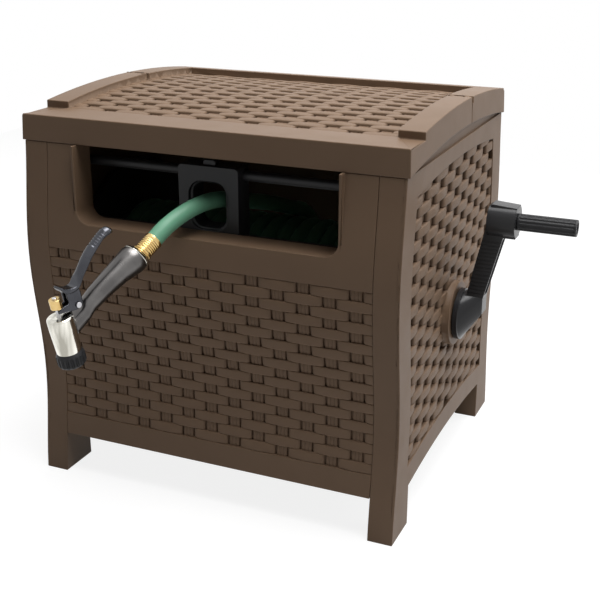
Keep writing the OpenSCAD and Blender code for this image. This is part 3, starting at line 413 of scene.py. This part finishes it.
def hose_curve(name, points, resolution):
    """A hose along a list of points."""
    data = bpy.data.curves.new(name, "CURVE")
    data.dimensions = "3D"
    data.bevel_depth = HOSE_D / 2 / METRE
    data.bevel_resolution = resolution
    data.use_fill_caps = True
    spline = data.splines.new("POLY")
    spline.points.add(len(points) - 1)
    for item, point in zip(spline.points, points):
        item.co = (*place(*point), 1)
    spline.use_smooth = True
    data.materials.append(HOSE)
    made = bpy.data.objects.new(name, data)
    scene.collection.objects.link(made)
    return made


def smooth_path(points, steps):
    """A smooth curve through the points."""
    last = len(points) - 1
    out = []
    for i in range(last):
        a, b, c, d = (Vector(points[held(j, 0, last)]) for j in (i - 1, i, i + 1, i + 2))
        for k in range(steps):
            t = k / steps
            out.append(tuple(0.5 * (2 * b + t * (c - a) + t * t * (2 * a - 5 * b + 4 * c - d)
                                    + t ** 3 * (3 * b - a - 3 * c + d))))
    out.append(tuple(points[-1]))
    return out


helix = []
for i in range(TURN_POINTS * TURNS + 1):
    a = OUTLET_ANGLE + 2 * math.pi * i / TURN_POINTS
    helix.append((-WOUND_X + PITCH * i / TURN_POINTS, WOUND_R * math.cos(a), AXLE_Z + WOUND_R * math.sin(a)))
# Both ends run on straight, one hose's width further
straight = (math.sin(OUTLET_ANGLE) * HOSE_D, math.cos(OUTLET_ANGLE) * HOSE_D)
first = (helix[0][0], helix[0][1] + straight[0], helix[0][2] - straight[1])
last = (helix[-1][0], helix[-1][1] - straight[0], helix[-1][2] + straight[1])
wound_points = [first, *helix, last]
wound_hose = hose_curve("wound_hose_turns", wound_points, resolution=5)
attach(wound_hose, "reel")
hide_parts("wound_hose")

LAP_R = WOUND_R + HOSE_D + LAP_GAP
LAP_X = 18
LAP_POINTS = 35
LAP_STEP = 5
LAP_RISE = 6
free_points = []
for i in range(LAP_POINTS):
    a = math.radians(LAP_STEP * i)
    free_points.append((LAP_X, LAP_R * math.sin(a), AXLE_Z - LAP_R * math.cos(a)))
free_route = [
    (LAP_X, 0, AXLE_Z + LAP_R + LAP_RISE), (14, -50, 424), (8, -100, 439), (2, -140, 450), (-3, -170, 458),
    (-7, -195, 463), (-13, -217, 464), (-21, -239, 461), (-30, -263, 454), (-39, -287, 443), (-46, -307, 430),
]
free_points += smooth_path(free_route, steps=5)
free_hose = hose_curve("free_hose_run", free_points, resolution=8)
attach(free_hose, "guide")
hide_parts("free_hose")

# Shells, with the width of their rounded edges
EDGE_WIDTHS = {
    "front_panel": 1.2, "back_panel": 1.2, "left_side_panel": 1.2, "right_side_panel": 1.2,
    "front_lid": 1.4, "rear_cover": 1.4,
    "guide_carriage": 1.5, "upper_rail": 0.6, "lower_rail": 0.6,
    "crank_grip": 0.8,
    "reel_drum": 0.6, "left_flange": 0.8, "right_flange": 0.8,
    "left_bush": 0.6, "right_bush": 0.6, "inlet_fitting": 0.8,
    "crank_axle": 0.5, "water_axle": 0.5, "hose_outlet": 0.6, "grip_pin": 0.5, "crank_screw": 0.4,
    "hinge_pins": 0.3, "panel_screws": 0.4, "bush_screws": 0.4, "flange_screws": 0.4,
    "hose_coupling": 0.2, "nozzle_handle": 0.6, "nozzle_head": 0.8, "nozzle_bezel": 0.6,
    "lever_rivet": 0.4, "valve_stem": 0.4, "flow_knob": 0.6,
}
for node, width in EDGE_WIDTHS.items():
    dress(node, width)
dress("crank_arm", width=0.6, material=GLOSSY)
for node in ("inlet_seal", "hose_washer"):
    dress(node, width=0.3, material=RUBBER)

# Nozzle, in its own frame: X along the handle from its hose end, Y across, Z towards the lever
NOZZLE_AT = Vector((-55.3, -332.5, 413.0))
NOZZLE_TURN = Euler((0, math.radians(32), math.radians(-110))).to_matrix()


def on_nozzle(local):
    """A point of the nozzle's frame, in metres in the row frame."""
    return place(*(NOZZLE_AT + NOZZLE_TURN @ local))


# Lever: a casting whose finger bar is round and ends in a blunt tip
LEVER_HALF = 9.0
# Middle line of the finger bar, in X and Z, and how far under it the bar reaches
BAR_LINE = ((12.0, 65.0), (31.5, 69.0), (60.0, 62.3), (84.5, 51.2), (100.8, 44.6))
BAR_DEPTH = 8.0
# The round shape fades out from the first X to the second
BAR_FADE = (84.0, 97.0)
BAR_WIDTH = 0.92
TIP_ROUND = 6.0
# The solid bar thins from one X to another, with these half thicknesses
THIN_X = 13.5
THIN_HALF = 1.2
THICK_X = 31.5
THICK_HALF = 5.0
# The blunt tip keeps its full thickness up to an X and then rounds off
BLUNT_X = 19.5
BLUNT_ROUND = 8.0
# Squares of the least shares of thickness at the bar's sides and of width at its tip
LEAST_THICK = 0.1
LEAST_WIDE = 0.3
# Casting: size in metres of the grid that it is recast on, and how much it is softened
RECAST_SIZE = 0.0006
SOFT_SHARE = 0.5
SOFT_PASSES = 4


def bar_height(along):
    """Height of the finger bar's middle line at a distance along the handle."""
    for (a, low), (b, high) in zip(BAR_LINE, BAR_LINE[1:]):
        if along < b:
            return low + (high - low) * (along - a) / (b - a)
    return BAR_LINE[-1][1]


def tip_swell(along):
    """How many times thicker the bar's blunt tip is than the tapered solid under it."""
    if along > THICK_X:
        return 1.0
    along = max(along, THIN_X)
    taper = THIN_HALF + (THICK_HALF - THIN_HALF) * (along - THIN_X) / (THICK_X - THIN_X)
    inward = max(0.0, BLUNT_X - along) / BLUNT_ROUND
    return THICK_HALF * math.sqrt(1 - inward ** 2) / taper


def dome(share, least):
    """Height of a circle at a share of its radius, where the height's square has a least value."""
    return math.sqrt(max(least, 1 - min(1.0, share) ** 2))


def round_bar(local):
    """A point of the lever, with the finger bar's flat sides and square tip rounded off."""
    along, across, height = local
    share = held((BAR_FADE[1] - along) / (BAR_FADE[1] - BAR_FADE[0]), 0.0, 1.0)
    middle = bar_height(along)
    thick = dome(abs(across) / LEVER_HALF, LEAST_THICK)
    height = middle + (height - middle) * tip_swell(along) * (1 + share * (thick - 1))
    from_tip = max(0.0, BAR_LINE[0][0] + TIP_ROUND - along) / TIP_ROUND
    across *= 1 - share * (1 - BAR_WIDTH * dome(from_tip, LEAST_WIDE))
    return Vector((along, across, height))


lever = dress("nozzle_lever", width=1.0)
recast = lever.modifiers.new("recast", "REMESH")
recast.mode = "VOXEL"
recast.voxel_size = RECAST_SIZE
lever_mesh = bpy.data.meshes.new_from_object(lever.evaluated_get(bpy.context.evaluated_depsgraph_get()))
for vert in lever_mesh.vertices:
    local = NOZZLE_TURN.transposed() @ (Vector(unplace(vert.co)) - NOZZLE_AT)
    if local.z > bar_height(local.x) - BAR_DEPTH:
        vert.co = on_nozzle(round_bar(local))
lever.modifiers.clear()
lever.data = lever_mesh
finish_mesh(lever_mesh, SHARP_NOWHERE)
soft = lever.modifiers.new("soft", "SMOOTH")
soft.factor = SOFT_SHARE
soft.iterations = SOFT_PASSES

# Bright collar at the handle's hose end: X, height of the middle and radius of each ring
COLLAR_SIDES = 48
COLLAR_RINGS = [
    (0.2, 2.0, 14.6), (-0.3, 2.0, 15.4), (-0.3, 2.0, 16.9), (0.6, 2.3, 18.0), (2.0, 2.7, 19.2),
    (3.4, 3.1, 20.0), (4.6, 3.3, 20.3), (5.2, 3.4, 20.0), (5.3, 3.4, 19.4),
]
collar_points = []
for along, middle, radius in COLLAR_RINGS:
    for i in range(COLLAR_SIDES):
        a = 2 * math.pi * i / COLLAR_SIDES
        collar_points.append(on_nozzle(Vector((along, radius * math.cos(a), middle + radius * math.sin(a)))))
collar_faces = []
for ring in range(len(COLLAR_RINGS) - 1):
    start = ring * COLLAR_SIDES
    for i in range(COLLAR_SIDES):
        a = start + i
        b = start + (i + 1) % COLLAR_SIDES
        collar_faces.append((a, b, b + COLLAR_SIDES, a + COLLAR_SIDES))
collar_mesh = bpy.data.meshes.new("handle_collar")
collar_mesh.from_pydata(collar_points, [], collar_faces)
finish_mesh(collar_mesh)
add_piece("handle_collar", collar_mesh, CHROME, NODE_BODY["nozzle_handle"])

# Woven fields: from warp to warp, from row to row, half a strand's length and half a warp's width
WARP = 39.0
ROW = 15.6
STRAND_HALF = 28.6
WARP_HALF = 8.4
WARP_RIBS = 3
# Height of a strand's and of a warp's ends, as a share of its middle
STRAND_END = 0.76
WARP_END = 0.80
# Height of a warp between its ribs, and of the ribs over that, as a share of a strand
WARP_LOW = 0.38
WARP_RIB = 0.12
# Warps lie lower, but their painted shade is lightened so that they are nearly as light as strands
WARP_SHADE = 1.5
# Strands and warps start this far under the field's floor
FOOT = 0.3
# Faces narrower than this many metres are left out
NARROW = 1e-6


def eased(share, start, drop):
    """1 up to a start, then lower by up to a drop, and 0 at the very edge, a share of 1."""
    if abs(share) >= 1:
        return 0.0
    return 1 - drop * max(0.0, (abs(share) - start) / (1 - start)) ** 2


def bowed(share, end):
    """1 in the middle, in a bow down to a height at both ends."""
    return end + (1 - end) * math.cos(share * math.pi / 2)


def strand_height(s, t):
    """Height of a strand over a warp, from 0 to 1, at shares of its half length and half width."""
    return bowed(s, STRAND_END) * eased(s, start=0.85, drop=0.30) * eased(t, start=0.70, drop=0.20)


def warp_height(p, q):
    """Height of a warp between two strands: ribs side by side, which dip under the strands."""
    rib = math.sqrt(abs(math.sin((p + 1) * WARP_RIBS / 2 * math.pi)))
    return (WARP_LOW + WARP_RIB * rib) * eased(p, start=0.80, drop=0.40) * bowed(q, WARP_END)


def both_ways(steps):
    """Steps from the middle outwards, to both sides."""
    return [-step for step in reversed(steps)] + [0] + list(steps)


# Shares at which a strand and a warp have points, closer where they bend more
S_STEPS = both_ways((0.25, 0.5, 0.7, 0.85, 0.93, 0.985, 1))
T_STEPS = both_ways((0.7, 0.86, 0.985, 1))
P_STEPS = both_ways((0.15, 0.26, 0.333, 0.4, 0.5, 0.66, 0.8, 0.9, 0.98, 1))
Q_STEPS = both_ways((0.3, 0.7, 1))


def within(u_reach, v_low, v_high):
    """Holds a point inside a rectangle."""
    return lambda u, v: (held(u, -u_reach, u_reach), held(v, v_low, v_high))


def weave(name, field, u_reach, clip, surface, height, warp_share, body):
    """Strands along U over and under warps along V, on a surface that takes U, V and a height.

    The warps stand at a share of their full height, which sets how deep they lie.
    """
    rows = round((field[1] - field[0]) / ROW)
    pitch = (field[1] - field[0]) / rows
    warps = int(u_reach / WARP) + 1
    bm = bmesh.new()
    uv = bm.loops.layers.uv.new("UVMap")
    # Height share of each point, which the woven material turns into painted shade
    painted_shade_rises = bm.verts.layers.float.new("rise")

    def patch(us, vs, rise, share, shade):
        """A strand or a warp, from its points' places and shares along U and along V."""
        grid = []
        flat = {}
        for u, s in us:
            column = []
            for v, t in vs:
                at = clip(u, v)
                vert = bm.verts.new(surface(*at, rise(s, t) * share * height - FOOT))
                vert[painted_shade_rises] = rise(s, t) * shade
                flat[vert] = (at[0] / METRE, at[1] / METRE)
                column.append(vert)
            grid.append(column)
        for i in range(len(grid) - 1):
            for j in range(len(grid[0]) - 1):
                corners = (grid[i][j], grid[i + 1][j], grid[i + 1][j + 1], grid[i][j + 1])
                near = flat[corners[0]]
                far = flat[corners[2]]
                if abs(near[0] - far[0]) < NARROW or abs(near[1] - far[1]) < NARROW:
                    continue
                face = bm.faces.new(corners)
                for loop in face.loops:
                    loop[uv].uv = flat[loop.vert]

    for row in range(rows):
        middle = field[0] + (row + 0.5) * pitch
        for warp in range(-warps, warps + 1):
            at = warp * WARP
            if (warp + row) % 2 == 0:
                us = [(at + s * STRAND_HALF, s) for s in S_STEPS]
                vs = [(middle + t * pitch / 2, t) for t in T_STEPS]
                patch(us, vs, strand_height, share=1.0, shade=1.0)
            else:
                us = [(at + p * WARP_HALF, p) for p in P_STEPS]
                vs = [(middle + q * pitch / 2, q) for q in Q_STEPS]
                patch(us, vs, warp_height, share=warp_share, shade=WARP_SHADE)
    bmesh.ops.delete(bm, geom=[v for v in bm.verts if not v.link_faces], context="VERTS")
    mesh = bpy.data.meshes.new(name)
    bm.to_mesh(mesh)
    bm.free()
    finish_mesh(mesh, SHARP_WEAVE)
    return add_piece(name, mesh, STRAND, body)


# Front and back, with the height of their strands from the foot and the share of it that a warp has
FRONT_GAP = 0.5
FRONT_REACH = POST_X - FRONT_GAP
FRONT_HEIGHT = FRONT_RECESS + 0.1
FRONT_WARP = 1.3
for side, name, field in ((-1, "front_weave", FRONT_FIELD), (1, "back_weave", BACK_FIELD)):
    weave(name, field, FRONT_REACH, within(FRONT_REACH, *field),
          lambda u, v, n, side=side: place(-side * u, side * (edge_y(v) - FRONT_RECESS + n), v),
          FRONT_HEIGHT, FRONT_WARP, "box")

# Sides
SIDE_REACH = 214.0
SIDE_HEIGHT = SIDE_RECESS - 0.6
SIDE_WARP = 0.45


def side_clip(u, v):
    """Holds a point inside a side panel's field: arched above and below, curved at its ends."""
    low = SIDE_LOW_Z - ARCH_R + math.sqrt(ARCH_R ** 2 - u * u)
    high = ARCH_Z + math.sqrt((ARCH_R - TOP_RAIL_H) ** 2 - u * u)
    v = held(v, low, high)
    reach = edge_y(v) - STILE_W
    return held(u, -reach, reach), v


for side, name in ((1, "right_weave"), (-1, "left_weave")):
    weave(name, SIDE_FIELD, SIDE_REACH, side_clip,
          lambda u, v, n, side=side: place(side * (SIDE_FLOOR_X + n), side * u, v),
          SIDE_HEIGHT, SIDE_WARP, "box")

# Lid and rear cover, on either side of the split
LID_HEIGHT = LID_RECESS + 0.2
LID_WARP = 0.7
LID_SPAN = (LID_FIELD[0], SPLIT_Y - SPLIT_HALF)
COVER_SPAN = (SPLIT_Y + SPLIT_HALF, LID_FIELD[1])


def on_lid(u, v, n):
    """A point over the lid's arched field."""
    r = LID_FLOOR_R + n
    return place(u, v, ARCH_Z + math.sqrt(r * r - v * v))


for name, span, body in (("lid_weave", LID_SPAN, "lid"), ("cover_weave", COVER_SPAN, "box")):
    weave(name, LID_FIELD, RIM_X, within(RIM_X, *span), on_lid, LID_HEIGHT, LID_WARP, body)


# Floor and world: white to the camera, and darker where they light the object
def seen_directly(nodes, links):
    """1 for what the camera sees, also in mirrors and through glass, and 0 for what lights the object."""
    kinds = nodes.new("ShaderNodeLightPath").outputs
    seen = kinds["Is Camera Ray"]
    for kind in ("Is Glossy Ray", "Is Transmission Ray"):
        either = nodes.new("ShaderNodeMath")
        either.operation = "MAXIMUM"
        links.new(seen, either.inputs[0])
        links.new(kinds[kind], either.inputs[1])
        seen = either.outputs["Value"]
    return seen


def pale_floor():
    """Matt floor that takes shadows, with a share of glow that only the camera sees."""
    made, nodes, links, shader = new_material("pale_floor")
    shader.inputs["Base Color"].default_value = (0.62, 0.62, 0.62, 1)
    shader.inputs["Roughness"].default_value = 0.9
    glow = nodes.new("ShaderNodeEmission")
    glow.inputs["Strength"].default_value = 1.42
    blend = nodes.new("ShaderNodeMixShader")
    links.new(spread(nodes, links, seen_directly(nodes, links), low=0.0, high=0.6), blend.inputs["Fac"])
    links.new(shader.outputs["BSDF"], blend.inputs[1])
    links.new(glow.outputs["Emission"], blend.inputs[2])
    links.new(blend.outputs["Shader"], nodes["Material Output"].inputs["Surface"])
    return made


def studio():
    """White world that lights the object only faintly."""
    made = bpy.data.worlds.new("studio")
    made.use_nodes = True
    nodes = made.node_tree.nodes
    links = made.node_tree.links
    background = nodes["Background"]
    background.inputs["Color"].default_value = (1, 1, 1, 1)
    strength = spread(nodes, links, seen_directly(nodes, links), low=0.05, high=1.0)
    links.new(strength, background.inputs["Strength"])
    return made


# Half the floor's side in metres
FLOOR_HALF = 2.1
FLOOR_CORNERS = [(x * FLOOR_HALF, y * FLOOR_HALF, 0) for x, y in ((-1, -1), (1, -1), (1, 1), (-1, 1))]
floor_mesh = bpy.data.meshes.new("floor")
floor_mesh.from_pydata(FLOOR_CORNERS, [], [(0, 1, 2, 3)])
floor_mesh.materials.append(pale_floor())
floor = bpy.data.objects.new("floor", floor_mesh)
scene.collection.objects.link(floor)
scene.world = studio()


def lamp(name, at, aim, size, power):
    """A round soft lamp of a size in metres and a power in watts, aimed at a point."""
    data = bpy.data.lights.new(name, "AREA")
    data.shape = "DISK"
    data.size = size
    data.energy = power
    made = bpy.data.objects.new(name, data)
    made.location = at
    made.rotation_euler = (Vector(aim) - Vector(at)).to_track_quat("-Z", "Y").to_euler()
    scene.collection.objects.link(made)


lamp("key", at=(0.85, -0.25, 2.9), aim=(0, 0, 0.4), size=1.8, power=60)
lamp("top", at=(0, 0.3, 2.9), aim=(0, 0, 0.4), size=2.0, power=48)
lamp("rear", at=(1.9, 1.5, 1.7), aim=(0, 0, 0.5), size=1.5, power=22)
lamp("gloss", at=(-0.5, 2.2, 1.6), aim=(0, 0, 0.5), size=2.0, power=3)
